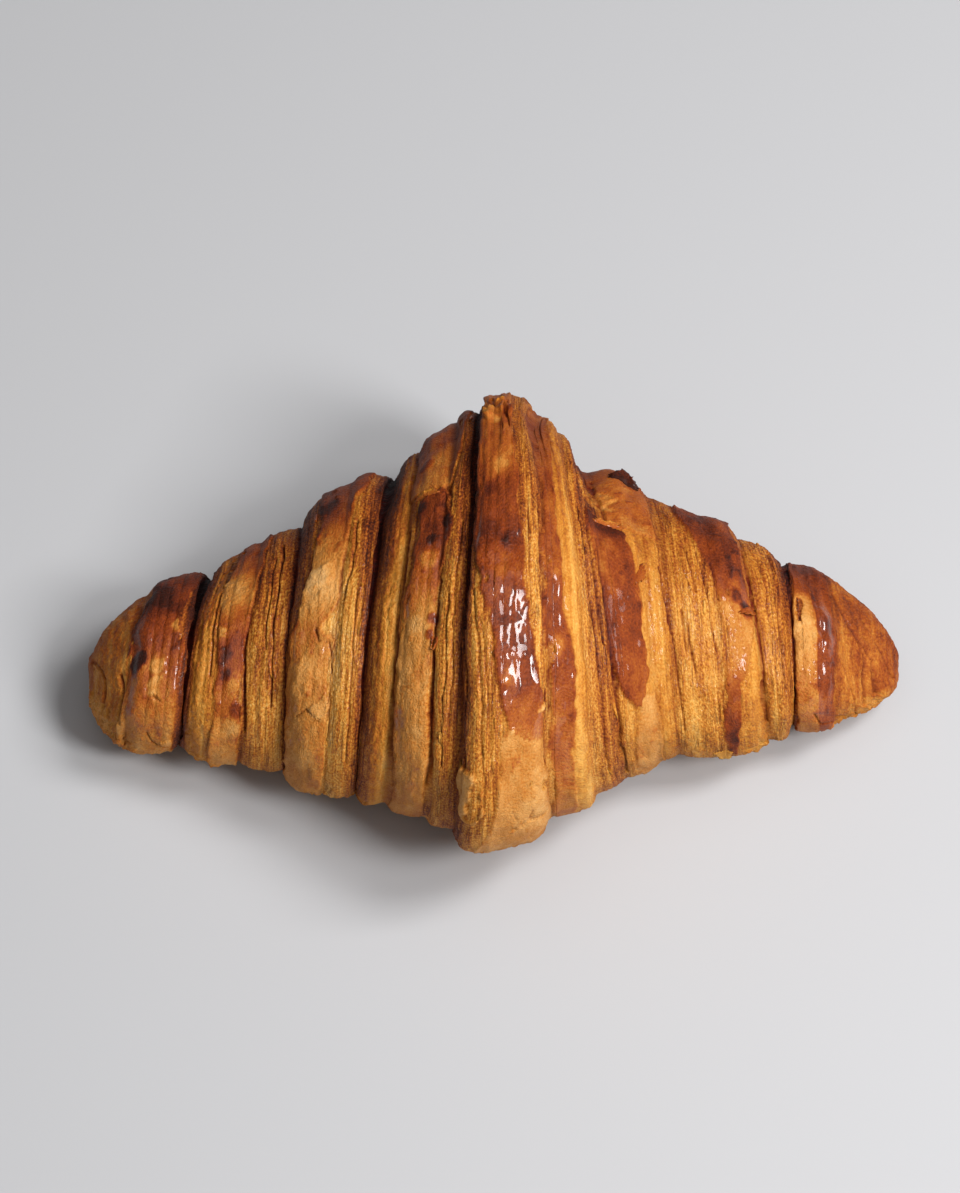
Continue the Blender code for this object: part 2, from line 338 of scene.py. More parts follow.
# %% Outlines of the skins: turn in degrees, left edge, right edge, browning from 0 to 1
SKINS = {
    "left_end": ((20, -68, -57, 0.40), (75, -68, -57.4, 0.34), (105, -67.6, -57.6, 0.42),
                 (135, -67.2, -57, 0.54), (150, -67, -57, 0.60), (168, -66.8, -57, 0.68),
                 (188, -66, -56.8, 0.74), (200, -65, -56.8, 0.88), (240, -64.6, -57, 0.86),
                 (300, -66, -57.5, 0.55), (340, -67, -57.5, 0.35)),
    "left_outer": ((60, -50.6, -45.4, 0.34), (100, -50.4, -45.0, 0.40), (120, -50.0, -45.0, 0.52),
                   (140, -49.8, -45.2, 0.64), (160, -50.2, -45.4, 0.66), (174, -50.6, -45.0, 0.60),
                   (186, -50.8, -44.6, 0.42), (206, -50.8, -44.4, 0.40),
                   (218, -50, -43.6, 0.62), (250, -49, -43, 0.74), (320, -49, -44, 0.35)),
    "left_third": ((60, -36.8, -30, 0.38), (90, -36.8, -29.5, 0.40), (114, -36.8, -29.2, 0.42),
                   (119, -36.6, -31, 0.46), (124, -36.6, -29.6, 0.42), (140, -36.5, -29.6, 0.40),
                   (147, -36.4, -28.9, 0.40), (154, -36.4, -31, 0.48), (168, -35.3, -28.8, 0.34),
                   (185, -34.0, -28.6, 0.38), (200, -33.4, -28, 0.50), (212, -33.0, -27.5, 0.68),
                   (245, -33.4, -25, 0.74), (320, -34, -27, 0.4)),
    "left_second": ((50, -17.0, -10.5, 0.40), (90, -16.6, -10.4, 0.41), (120, -16.4, -10.5, 0.40),
                    (142, -16.2, -10.2, 0.36), (158, -15.8, -9.9, 0.48), (168, -15.4, -9.8, 0.66),
                    (190, -15.0, -9.2, 0.76), (203, -14.8, -9.4, 0.82), (207, -13.4, -10.4, 0.80)),
    "left_second_top": ((208, -17.4, -9.6, 0.54), (222, -17, -8.5, 0.56), (235, -17, -8, 0.70),
                        (250, -16, -7, 0.72), (320, -16, -9, 0.40)),
    "middle": ((114, 5.2, 8.4, 0.50), (122, 2.6, 8.9, 0.62), (130, 1.2, 7.8, 0.70),
               (140, 0.4, 6.9, 0.72), (150, -0.6, 6.2, 0.72), (160, -2.0, 5.8, 0.70),
               (170, -3.4, 5.4, 0.70), (182, -4.4, 5.0, 0.74), (197, -4.6, 4.6, 0.72),
               (208, -4.6, 4.2, 0.60), (222, -4.5, 3.4, 0.60), (240, -4.4, 3.0, 0.58),
               (320, -4, 4, 0.45)),
    "middle_foot": ((36, -5, 9.8, 0.36), (60, -4.0, 9.7, 0.36), (84, -2.0, 9.4, 0.35),
                    (92, 0.4, 9.2, 0.34), (106, 1.2, 8.8, 0.34), (119, 1.8, 8.4, 0.40)),
    "right_second": ((50, 10.2, 13.4, 0.44), (90, 10.3, 13.4, 0.52), (118, 10.0, 13.2, 0.56),
                     (130, 9.2, 13.4, 0.64), (150, 8.7, 12.9, 0.68), (165, 8.7, 12.4, 0.66),
                     (190, 9.2, 12.0, 0.66), (200, 9.5, 12.2, 0.62), (250, 9.0, 14, 0.55),
                     (320, 10, 14, 0.4)),
    "right_third": ((116, 24.0, 25.2, 0.62), (124, 21.6, 26.4, 0.66), (134, 20.8, 27.2, 0.66),
                    (146, 20.6, 27.4, 0.70), (158, 20.4, 27.0, 0.69), (170, 20.0, 26.4, 0.68),
                    (188, 19.2, 26.0, 0.74), (192, 19.0, 25.8, 0.86), (195, 19.0, 24.6, 0.90),
                    (198, 19.0, 22.4, 0.92), (201, 19.2, 20.8, 0.92)),
    "right_third_foot": ((40, 23.6, 29, 0.38), (80, 23.8, 29.2, 0.34), (105, 24.2, 28.8, 0.30),
                         (119, 25.2, 28.0, 0.32)),
    "right_third_top": ((197, 23.6, 31, 0.50), (210, 23.2, 31.4, 0.56), (225, 22.8, 31.5, 0.56),
                        (250, 21, 31, 0.60), (320, 21, 30, 0.4)),
    "right_fourth": ((80, 41.6, 43.6, 0.70), (100, 41.4, 43.8, 0.78), (124, 41.6, 44.4, 0.66),
                     (133, 41.8, 46.2, 0.50), (150, 41.8, 47.2, 0.44), (165, 41.6, 47.6, 0.48),
                     (174, 41.4, 47.8, 0.62), (186, 40.8, 47.6, 0.80), (205, 38.0, 47, 0.78),
                     (225, 36, 46, 0.80), (320, 38, 46, 0.5)),
    "right_end_pale": ((60, 55.6, 60, 0.50), (100, 55.5, 59.6, 0.50), (130, 55.4, 59.4, 0.44),
                       (160, 55.4, 59.8, 0.38), (190, 55.4, 59.6, 0.46), (200, 55.4, 59.4, 0.70),
                       (230, 55.6, 60, 0.84), (320, 56, 60, 0.5)),
    "right_end": ((40, 59.8, 62.4, 0.60), (90, 59.4, 62.6, 0.70), (120, 59.2, 62.8, 0.66),
                  (150, 58.8, 63.0, 0.68), (180, 59.0, 63, 0.68), (200, 58.9, 63, 0.76),
                  (230, 59.4, 63, 0.84), (320, 59, 63, 0.5)),
    "middle_leaf": ((95, -4.2, -2.0, 0.30), (99, -4.6, -0.8, 0.28), (105, -4.8, -1.2, 0.30),
                    (110, -4.6, -2.8, 0.34)),
    "middle_peel": ((119, 3.4, 8.6, 0.26), (122, 3.0, 8.7, 0.24), (125, 5.8, 8.8, 0.30)),
    "left_third_peel": ((116, -34.6, -29.4, 0.34), (121, -35.2, -29.0, 0.30),
                        (126, -32.4, -29.6, 0.30)),
    "left_end_peel": ((84, -60.4, -57.4, 0.36), (94, -62.0, -57.4, 0.34), (104, -62.2, -58.8, 0.38)),
}
SKIN_RISE = 0.20
DULL_SKINS = {"right_third": 0.18, "middle_foot": 0.4, "left_outer": 0.6, "left_end": 0.5,
              "right_fourth": 0.5}
PROUD_SKINS = {"middle_leaf": 0.26, "middle_peel": 0.55, "left_third_peel": 0.5, "left_third": 0.26,
               "left_end_peel": 0.6, "left_second": 0.32,
               "right_third": 0.32, "right_fourth": 0.3, "right_end": 0.12, "left_outer": 0.3}
fray = 0.40 * rough(ALONG / 2.4, AROUND / 6.0, 71) + 0.18 * rough(ALONG / 0.8, AROUND / 2.0, 77, 2)
tears = 2.2 * smooth(rough(ALONG / 3.0, AROUND / 8.0, 61), 0.75, 1.15)
skin_depth = np.full_like(ALONG, -9.0)
skin_bake, skin_rise, skin_gloss = (np.zeros_like(ALONG) for _ in range(3))
for name, outline in SKINS.items():
    left, right, browning = (read(outline, TURN_DEGREES, column) for column in (1, 2, 3))
    inside = np.minimum.reduce([
        ALONG - left, right - ALONG, (TURN_DEGREES - outline[0][0]) * MM_A_DEGREE,
        (outline[-1][0] - TURN_DEGREES) * MM_A_DEGREE])
    inside = inside + fray - tears
    better = inside > skin_depth
    skin_bake = np.where(better, browning, skin_bake)
    skin_rise = np.where(better, PROUD_SKINS.get(name, SKIN_RISE), skin_rise)
    skin_gloss = np.where(better, DULL_SKINS.get(name, 1.0), skin_gloss)
    skin_depth = np.where(better, inside, skin_depth)
skin = smooth(skin_depth, -0.10, 0.12)
skin_tint = smooth(skin_depth + 0.25 * fray, -0.30, 0.30)
rim = smooth(skin_depth, -0.1, 0.1) * smooth(skin_depth, 0.9, 0.15)
curl = rim * smooth(hills(ALONG / 4, AROUND / 6, 83), -0.3, 0.6)
under_rim = smooth(skin_depth, -0.5, -0.15) * (1 - skin)
print(f"skins cover {100 * skin.mean():.0f} % of the crust")

# %% Spots where the skin blistered, paled or browned: along, turn, radius, browning, height
SPOTS = (
    (-65.2, 155, 1.5, 0.55, 0.1), (-64.6, 158, 1.0, 0.30, 0.0), (-61.2, 150, 1.7, -0.30, 0.2),
    (-61.4, 139, 1.5, -0.24, 0.1), (-58.2, 182, 1.6, -0.30, 0.1), (-61.0, 130, 1.0, -0.15, 0.1),
    (-62.5, 210, 2.6, 0.14, 0.2), (-66.5, 225, 1.2, -0.30, 0.4), (-48.4, 150, 1.3, 0.28, 0.2),
    (-48.0, 140, 1.0, 0.24, 0.1), (-46.6, 134, 1.6, -0.20, 0.1), (-49.6, 165, 1.2, -0.30, 0.2),
    (-46.0, 120, 1.2, 0.30, 0.1), (-47.0, 110, 1.5, -0.12, 0.1), (-34.0, 214, 1.0, 0.35, 0.5),
    (-33.6, 207, 0.9, 0.32, 0.45), (-32.0, 225, 2.2, 0.20, 0.1), (-32.2, 180, 2.4, -0.14, 0.45),
    (-36.0, 158, 1.2, 0.20, 0.0), (-33.6, 134, 2.2, -0.06, 0.25), (-33.0, 100, 2.0, -0.08, 0.1),
    (-12.2, 184, 0.8, 0.35, 0.1), (-12.4, 176, 1.5, -0.20, 0.2), (-10.9, 152, 0.9, 0.34, 0.1),
    (-11.0, 146, 0.7, 0.34, 0.1), (-14.4, 200, 1.0, 0.22, 0.2), (-9.4, 192, 0.9, 0.45, 0.2),
    (-14.6, 222, 1.0, 0.22, 0.2), (-13.0, 150, 1.8, -0.12, 0.1), (-1.8, 199, 1.6, 0.16, 0.1),
    (3.0, 178, 2.2, 0.14, 0.1), (1.0, 208, 1.6, -0.14, 0.1), (1.6, 166, 1.6, -0.10, 0.1),
    (2.6, 134, 1.4, -0.16, 0.1), (-2.6, 233, 1.5, 0.10, 1.1), (0.6, 236, 1.2, -0.10, 0.9),
    (3.2, 233, 1.3, 0.10, 0.8), (11.0, 140, 1.2, -0.16, 0.2), (11.2, 165, 1.0, -0.10, 0.1),
    (20.6, 172, 1.4, -0.14, 0.1), (22.6, 184, 1.2, -0.10, 0.1),
    (46.6, 166, 1.2, 0.45, 0.1), (45.0, 172, 1.2, 0.30, 0.1),
    (42.4, 96, 1.2, 0.16, 0.0), (57.4, 178, 2.0, -0.06, 0.3), (57.4, 160, 2.2, -0.07, 0.3),
    (57.4, 142, 1.9, -0.05, 0.2), (61.4, 170, 1.5, 0.10, 0.1), (61.0, 128, 1.8, 0.10, 0.1),
)
spot_bake, spot_height = np.zeros_like(ALONG), np.zeros_like(ALONG)
warp = 0.35 * rough(ALONG / 1.6, AROUND / 1.6, 87, 2)
for along, turn, radius, browning, height in SPOTS:
    away = np.hypot(ALONG - along, (TURN_DEGREES - turn) * MM_A_DEGREE * 0.75) / radius + warp
    bump = smooth(away, 1.35, 0.45)
    spot_bake += browning * bump
    spot_height += height * bump
blisters = smooth(hills(SPAN / 1.1, AROUND / 1.4, 89), 0.62, 0.92)

# %% Swells and dents of the whole crust, and places where it broke into crumbs
# along, turn, reach along in millimetres, reach round in degrees, height
SWELLS = (
    (-75, 180, 4, 200, 1.2), (75, 180, 5, 200, 1.6), (-64, 190, 4, 20, 0.5), (-51.5, 236, 4, 30, -1.5),
    (-39, 74, 5, 24, 0.6), (-22, 236, 5, 28, -1.4), (-26.5, 226, 4, 26, 1.2), (-12, 230, 5, 24, -0.9),
    (-12, 76, 6, 26, -1.0), (-1.5, 240, 2.6, 26, -1.5), (5.0, 240, 3.4, 24, -1.8),
    (10.5, 238, 3, 24, -1.8), (22.6, 240, 2.6, 40, -3.2), (17.0, 240, 1.6, 24, 1.0),
    (38, 236, 9, 30, -1.4), (58.5, 236, 3, 30, -1.5), (72, 92, 5, 24, 0.6), (-27, 84, 6, 22, 0.7),
    (3, 132, 5, 18, 0.5), (-13, 120, 3, 26, 0.4), (24, 90, 5, 24, -0.6), (58, 150, 3, 20, 0.4),
    (61.0, 176, 2.0, 10, 0.9), (61.6, 154, 2.0, 9, 0.9),
)
# along, turn, radius
CRUMBS = ((21.6, 216, 3.6), (-72.5, 100, 3.4), (-69, 84, 3.0), (-66, 76, 2.4), (47, 76, 2.6),
          (70, 84, 3.0), (-1.6, 232, 2.2), (-30, 76, 3.0), (-22, 72, 2.4), (64, 76, 2.6),
          (-51, 76, 2.6), (4, 70, 3.6))
swell = np.zeros_like(ALONG)
for along, turn, reach_along, reach_round, height in SWELLS:
    away = ((ALONG - along) / reach_along)**2 + ((TURN_DEGREES - turn) / reach_round)**2
    swell += height * np.exp(-away)
crumbs = np.zeros_like(ALONG)
for along, turn, radius in CRUMBS:
    away = np.hypot(ALONG - along, (TURN_DEGREES - turn) * MM_A_DEGREE) / radius + warp
    crumbs = np.maximum(crumbs, smooth(away, 1.3, 0.7))
crumb_relief = 0.42 * rough(SPAN / 1.2, AROUND / 1.2, 88)

# %% Cracks and deep creases: width, depth, then the places (along, turn) they run through
CRACKS = (
    (0.5, 0.9, (-55.7, 55), (-55.6, 150), (-55.8, 300)), (0.35, 0.6, (-51.4, 200), (-51.5, 140)),
    (0.4, 0.7, (-45.2, 162), (-45.0, 140), (-44.4, 108)), (0.35, 0.5, (-41.5, 215), (-41.3, 150)),
    (0.4, 0.7, (-40.2, 225), (-40.0, 175), (-39.8, 120)), (0.3, 0.35, (-37.2, 60), (-37.2, 300)),
    (0.3, 0.5, (-26.6, 208), (-26.7, 180), (-27.6, 166)), (0.3, 0.5, (-25.2, 170), (-24.8, 100)),
    (0.5, 0.8, (-22.6, 130), (-22.6, 260)), (0.45, 0.6, (-22.4, 75), (-22.6, 135)),
    (0.4, 0.9, (-16.6, 192), (-16.7, 150), (-17.0, 118)), (0.3, 0.5, (-17.0, 118), (-16.8, 95)),
    (0.4, 0.9, (-9.9, 166), (-10.1, 140), (-10.4, 100)), (0.3, 0.5, (-8.0, 160), (-8.4, 108)),
    (0.3, 0.4, (-7.0, 190), (-7.0, 120)), (0.55, 0.9, (-4.8, 148), (-4.7, 270)),
    (0.3, 0.5, (-4.8, 150), (-4.6, 70)), (0.3, 0.35, (-3.4, 160), (-2.2, 132), (-1.0, 100)),
    (0.25, 0.3, (-2.2, 152), (-0.6, 126), (0.6, 100)), (0.3, 0.5, (8.6, 128), (8.8, 106)),
    (0.35, 0.6, (8.6, 196), (8.5, 140)), (0.3, 0.4, (6.4, 215), (6.6, 150)),
    (0.35, 0.6, (17.4, 200), (17.9, 150), (18.6, 90)), (0.4, 0.8, (18.9, 190), (19.3, 140)),
    (0.35, 0.7, (20.2, 186), (20.4, 135), (21.2, 80)), (0.3, 0.5, (31.6, 160), (33.4, 100)),
    (0.35, 0.6, (31.2, 180), (31.8, 150)), (0.3, 0.5, (34.2, 158), (34.6, 138)),
    (0.3, 0.5, (35.2, 150), (36.0, 128)), (0.35, 0.6, (38.4, 196), (39.6, 160), (40.4, 140)),
    (0.3, 0.5, (36.2, 200), (37.2, 170)), (0.3, 0.5, (40.6, 190), (41.2, 168)),
    (0.35, 0.6, (48.3, 215), (48.6, 150), (48.4, 98)), (0.3, 0.5, (51.0, 215), (51.2, 110)),
    (0.35, 0.6, (52.8, 235), (52.9, 120)), (0.5, 0.8, (54.8, 55), (54.9, 120)),
    (0.25, 0.35, (54.9, 120), (54.8, 300)), (0.3, 0.5, (-62.4, 104), (-60.4, 90), (-57.6, 80)),
    (0.3, 0.4, (-61.6, 131), (-60.4, 127)),
    (0.35, 0.5, (-32.2, 154), (-31.4, 148), (-29.6, 147), (-28.8, 141), (-28.6, 134)),
    (0.25, 0.4, (-34.4, 118), (-32.6, 121), (-31.0, 118)), (0.3, 0.6, (1.2, 236), (2.6, 225)),
    (0.3, 0.6, (3.2, 90), (5.6, 91.5), (6.4, 95)), (0.3, 0.6, (6.0, 92), (8.6, 88)),
    (0.25, 0.4, (4.0, 94), (3.4, 97)), (0.3, 0.5, (58.6, 104), (59.4, 96), (61.8, 92)),
    (0.4, 0.5, (63.6, 215), (66.0, 180), (69.6, 150), (70.6, 110)),
    (0.35, 0.4, (65.4, 190), (68.4, 150), (68.8, 100)),
    (0.4, 0.5, (68.0, 210), (72.0, 160), (73.6, 120)),
    (0.35, 0.4, (64.6, 140), (66.4, 110), (67.4, 84)), (0.5, 0.8, (62.8, 95), (66.0, 84), (70.0, 80)),
    (0.35, 0.5, (-73.6, 190), (-71.4, 150), (-71.8, 110)), (0.4, 0.6, (-68.4, 150), (-67.6, 110)),
    (0.35, 0.5, (-70.6, 120), (-70.0, 96), (-67.0, 88)),
)
cut = np.zeros_like(ALONG)
wobble = 1 + 0.5 * hills(ALONG / 2, AROUND / 3, 95)
sideways = 0.28 * rough(ALONG / 4, AROUND / 5, 96, 2)
for width, depth, *places in CRACKS:
    nearest = np.full_like(ALONG, 99.0)
    for (along, turn), (next_along, next_turn) in zip(places, places[1:]):
        run, rise = next_along - along, (next_turn - turn) * MM_A_DEGREE
        across, up = ALONG - along + sideways, (TURN_DEGREES - turn) * MM_A_DEGREE
        share = np.clip((across * run + up * rise) / (run**2 + rise**2), 0, 1)
        nearest = np.minimum(nearest, np.hypot(across - share * run, up - share * rise))
    cut = np.maximum(cut, depth * smooth(nearest, 0.8 * width * wobble, 0.1 * width))
print("deepest cut:", round(float(cut.max()), 1), "mm")

# %% [markdown]
# ## From reliefs to one surface
# The relief is pushed out along the normals, so that it also shows on the walls of the grooves.
# What lies lower than its surroundings keeps its own number, the hollow, from which shade is
# painted into the crust's crevices and grooves. Last, the foot is pressed flat.

# %% Put the relief on the base
pillow = 0.32 * rough(ALONG / 5, AROUND / 9, 91) + 0.07 * rough(SPAN / 1.3, AROUND / 2.2, 93, 2)
ladder = 0.07 * hills(AROUND / 1.25, SPAN / 5, 92) * smooth(np.abs(ALONG - 10.8), 2.4, 1.4)
skin_relief = 0.07 * pebbles * smooth(skin_bake, 0.56, 0.42)
skin_relief = skin_relief + skin_rise + pillow + ladder + 0.16 * curl + spot_height
skin_relief = skin_relief + 0.10 * blisters + 0.15 * leaf_relief
relief = leaf_relief * (1 - skin) + skin_relief * skin - 0.05 * under_rim - cut
relief = relief + swell + crumbs * crumb_relief + 0.55 * rough(ALONG / 14, AROUND / 22, 97)
tip = smooth(np.abs(ALONG), 62, 68)
relief = relief + tip * 0.7 * rough(ALONG / 4.5 + AROUND / 14, AROUND / 9 - ALONG / 30, 98)
above_foot = smooth(base[..., 2], 0.2, 4.0)
shown = relief * (0.15 + 0.85 * above_foot) * nose(ALONG) ** 0.25
points = base + normals * shown[..., None]


def blurred(field, reach):
    """The average over this many rows each way."""
    padded = np.pad(field, ((reach + 1, reach), (0, 0)), mode="edge")
    total = np.cumsum(padded, axis=0)
    return (total[2 * reach + 1:] - total[:-2 * reach - 1]) / (2 * reach + 1)


level = crust_radius(along_rows)[:, None] + groove_fill(along_rows, turn_columns) + shown
hollow = np.clip((blurred(blurred(level, 5), 5) - level) / 0.5, 0, 1)
deep = np.clip((blurred(blurred(level, 22), 22) - level) / 3.0, 0, 1)
# Painted shade: the colour darkens in hollows, deep grooves, gaps between leaves, cracks and under a
# lifted skin rim, less so near the table
painted_crevice_shade = 0.5 * hollow + 0.75 * deep + 0.55 * leaf_gaps * (1 - skin) + 0.55 * cut + 0.2 * under_rim
painted_crevice_shade = np.clip(painted_crevice_shade, 0, 1) * (1 - 0.45 * smooth(TURN_DEGREES, 135, 100))
points[..., 2] = np.maximum(points[..., 2], 0)

# %% Browning: oven heat, the skins' own tone, leaf streaks, painted groove shade and bounce light
blotches = 0.07 * rough(ALONG / 4, AROUND / 9, 101) + 0.06 * rough(SPAN / 1.2, AROUND / 2.4, 103)
streaks = (0.08 * broad_tone + 0.10 * thin_tone) * (1 - 0.6 * tip)
streaks = streaks * (0.55 + 0.45 * smooth(TURN_DEGREES, 95, 135))
streaks = streaks + 0.07 * rough(SPAN / 0.9, AROUND / 5, 105, 2)
heat = 0.17 * smooth(TURN_DEGREES, 150, 205) * smooth(TURN_DEGREES, 330, 260) * (1 - 0.6 * tip)
foot = smooth(base[..., 2], 9, 1)
leaf_bake = zone_bake_and_groove_shade + streaks + heat + 0.05 * pebbles + (0.5 + 0.4 * tip) * blotches
whole_skin_bake = skin_bake + blotches + spot_bake + 0.12 * blisters + 0.03 * rim
bake = leaf_bake * (1 - skin_tint) + whole_skin_bake * skin_tint
bake = bake + (0.36 + 0.35 * crumb_relief - bake) * crumbs * 0.75
# Near the table the crust is made paler: partly the foot's own lighter tone, partly painted light
# bounced up from the table
bake = np.clip(bake * (1 - 0.6 * foot) + 0.20 * foot, 0, 1)
dry = np.maximum(smooth(foot, 0.0, 0.6), 0.95 * smooth(TURN_DEGREES, 176, 200))
dry = np.maximum(dry, 0.9 * smooth(TURN_DEGREES, 112, 92))
skin_tint = np.maximum(skin_tint, 0.6 * tip)
layered = (1 - skin_tint) * smooth(zone_relief, 0.25, 0.85)
glaze = (1 - dry) * (1 - crumbs) * smooth(cut, 0.3, 0.0)
leaf_gloss = 0.25 * (1 - skin) * (1 - tip) * smooth(-skin_depth, 0.1, 0.6)
glaze = glaze * (skin * skin_gloss * smooth(bake, 0.34, 0.56) + leaf_gloss)
glaze = glaze * (1 - painted_crevice_shade) * (1 - 0.9 * smooth(skin_depth, 0.8, 0.2) * skin)

# %% [markdown]
# ## Cutting the grid into wraps
# One mesh of this size would be hard to handle, and a croissant falls into wraps anyway. Each wrap
# takes its rows of the grid, closes its two ends inside the roll and so is a solid of its own.

# %% Make the wraps
CUTS = (-55.9, -37.0, -22.1, -4.8, 10.4, 22.0, 33.6, 54.8)
NAMES = ("left_end", "left_outer", "left_third", "left_second", "middle", "right_second",
         "right_third", "right_fourth", "right_end")
shift = np.array([0.0, -(base[..., 1].min() + base[..., 1].max()) / 2, 0.0])
points = (points + shift) * MM
roll = np.stack([SPAN, AROUND, TURN], axis=-1)


def new_object(name, vertices, faces, fields, places):
    """An object from arrays. Fields are its numbers, places its (along, around, turn)."""
    mesh = bpy.data.meshes.new(name)
    mesh.from_pydata(vertices.tolist(), [], faces)
    for title, field in fields.items():
        numbers = np.asarray(field, dtype=np.float32)
        mesh.attributes.new(title, "FLOAT", "POINT").data.foreach_set("value", numbers)
    numbers = np.asarray(places, dtype=np.float32).ravel()
    mesh.attributes.new("roll", "FLOAT_VECTOR", "POINT").data.foreach_set("vector", numbers)
    mesh.shade_smooth()
    made = bpy.data.objects.new(name, mesh)
    bpy.context.scene.collection.objects.link(made)
    return made


def wrap_object(name, first, last):
    """A closed mesh of the grid's rows from first to last."""
    columns = points.shape[1]
    part = points[first:last + 1]
    centres = np.array([part[0].mean(axis=0), part[-1].mean(axis=0)])
    ring = np.arange(columns)
    following = np.roll(ring, -1)
    starts = np.arange(last - first)[:, None] * columns
    quads = np.stack([starts + ring, starts + columns + ring, starts + columns + following,
                      starts + following], axis=-1).reshape(-1, 4)
    end_row, centre = (last - first) * columns, len(part) * columns
    caps = [(centre, a, b) for a, b in zip(ring, following)]
    caps += [(centre + 1, end_row + b, end_row + a) for a, b in zip(ring, following)]
    grids = {"bake": bake, "skin": skin_tint, "glaze": glaze, "painted_crevice_shade": painted_crevice_shade,
             "layered": layered}
    fields = {title: np.append(grid[first:last + 1], [0, 0]) for title, grid in grids.items()}
    places = roll[first:last + 1].reshape(-1, 3)
    return new_object(name, np.concatenate([part.reshape(-1, 3), centres]), quads.tolist() + caps,
                      fields, np.concatenate([places, places[:2]]))


borders = [0] + [int(np.argmin(np.abs(along_rows - cut_place))) for cut_place in CUTS] + [rows - 1]
pieces = []
for name, first, last in zip(NAMES, borders, borders[1:]):
    pieces.append(wrap_object("wrap_" + name, first, last))
    print(pieces[-1].name, len(pieces[-1].data.polygons), "faces")

# %% [markdown]
# ## Loose flakes
# Here and there a leaf has let go of the crust. Its root is still in the dough, the rest stands
# off, with a ragged end. Such a flake could be cut from a plane and bent with modifiers. Here a
# small grid walks over the crust from the root and rises with every step, which follows the crust
# by itself.

# %% Flakes: root (along, turn), direction (0 to the right, 90 up), length, width, lift, browning
FLAKES = (
    (27.4, 232, 84, 3.8, 4.2, 1.3, 1.05), (40.4, 84, -80, 3.5, 3.4, 0.7, 0.40),
    (-10.2, 146, -86, 3.0, 1.4, 0.4, 0.70), (26.6, 172, -20, 1.6, 5.0, 0.5, 0.70),
    (46.6, 168, -50, 2.0, 4.0, 0.4, 0.72), (-14.0, 205, 85, 1.6, 4.0, 0.5, 0.60),
    (23.0, 196, 88, 1.6, 4.6, 0.5, 0.62),
    (-2.6, 238, 60, 2.4, 2.6, 0.8, 0.70), (0.8, 238, 110, 2.4, 2.6, 0.8, 0.62),
)
SLIVERS = 14
columns_degrees = np.degrees(turn_columns)


def on_crust(along, turn):
    """Points, outward directions, and (along, around, turn), between the grid's own points."""
    row = np.interp(along, along_rows, np.arange(rows))
    column = np.interp(turn, columns_degrees, np.arange(len(turn_columns)))
    r, c = np.minimum(row.astype(int), rows - 2), np.minimum(column.astype(int), len(turn_columns) - 2)
    u, v = (row - r)[..., None], (column - c)[..., None]
    return [grid[r, c] * (1 - u) * (1 - v) + grid[r + 1, c] * u * (1 - v)
            + grid[r, c + 1] * (1 - u) * v + grid[r + 1, c + 1] * u * v
            for grid in (points, normals, roll)]


def flake(along, turn, direction, length, width, lift, browning, seed):
    """Vertices, faces, browning and places of one thin, torn leaf that stands off the crust."""
    chance = np.random.default_rng(seed)
    steps, lanes, thickness = 12, 9, 0.22
    s = np.linspace(0, 1, steps)[:, None]
    ends = 1 - 0.3 * np.abs(np.convolve(chance.uniform(-1, 1, lanes + 2), [0.4, 0.6, 0.4], "valid"))
    half = width / 2 * (1 - 0.55 * s**3) * (1 + 0.25 * chance.uniform(-1, 1, (steps, 1)))
    side = np.linspace(-1, 1, lanes)[None, :] * half
    forward = s * length * ends[None, :]
    a = math.radians(direction)
    mm_a_degree = float(np.interp(along, along_rows, MM_A_DEGREE[:, 0]))
    place = along + forward * math.cos(a) - side * math.sin(a)
    angle = turn + (forward * math.sin(a) + side * math.cos(a)) / mm_a_degree
    at, out, spot = on_crust(place, angle)
    rise = 0.12 + lift * s**1.6 + 0.12 * chance.uniform(-1, 1, (steps, lanes)) * s
    rise = rise - 0.5 * smooth(0.2 - s, 0, 0.2)
    upper = at + out * rise[..., None] * MM
    lower = upper - out * thickness * MM
    vertices = np.concatenate([upper.reshape(-1, 3), lower.reshape(-1, 3)])
    index = np.arange(steps * lanes).reshape(steps, lanes)
    quads = np.stack([index[:-1, :-1], index[1:, :-1], index[1:, 1:], index[:-1, 1:]], axis=-1)
    quads = quads.reshape(-1, 4)
    under = quads[:, ::-1] + steps * lanes
    rim = np.concatenate([index[0, :-1], index[:-1, -1], index[-1, :0:-1], index[:0:-1, 0]])
    after = np.roll(rim, -1)
    wall = np.stack([rim, after, after + steps * lanes, rim + steps * lanes], axis=-1)
    tone = np.tile((browning - 0.15 * s + 0 * side).ravel(), 2)
    faces = np.concatenate([quads, under, wall])
    return vertices, faces, tone, np.tile(spot.reshape(-1, 3), (2, 1))


chance = np.random.default_rng(5)
slivers = []
while len(slivers) < SLIVERS:
    along, turn = chance.uniform(-66, 66), chance.uniform(70, 285)
    row, column = np.argmin(np.abs(along_rows - along)), np.argmin(np.abs(columns_degrees - turn))
    if skin[row, column] < 0.2 and zone_relief[row, column] > 0.55:
        slivers.append((along, turn, chance.choice((-90, 90)) + chance.uniform(-9, 9),
                        chance.uniform(2.0, 4.5), chance.uniform(0.3, 0.6), chance.uniform(0.1, 0.3),
                        float(bake[row, column])))
made = [flake(*row, seed) for seed, row in enumerate(list(FLAKES) + slivers)]
offsets = np.cumsum([0] + [len(vertices) for vertices, *_ in made])
vertices, tones, places = (np.concatenate([row[k] for row in made]) for k in (0, 2, 3))
faces = np.concatenate([row[1] + offset for row, offset in zip(made, offsets)])
is_skin = (tones > 0.5).astype(float)
fields = {"bake": tones, "skin": is_skin, "glaze": 0.4 * is_skin, "painted_crevice_shade": 0 * tones,
          "layered": 0 * tones}
pieces.append(new_object("loose_flakes", vertices, faces.tolist(), fields, places))
print(len(made), "flakes")

# %% [markdown]
# ## Helpers for the materials
# One function turns a colour as it is written on the web into the linear light that the renderer
# counts in. Another adds a node, sets it and links it, so that a material reads as a list.

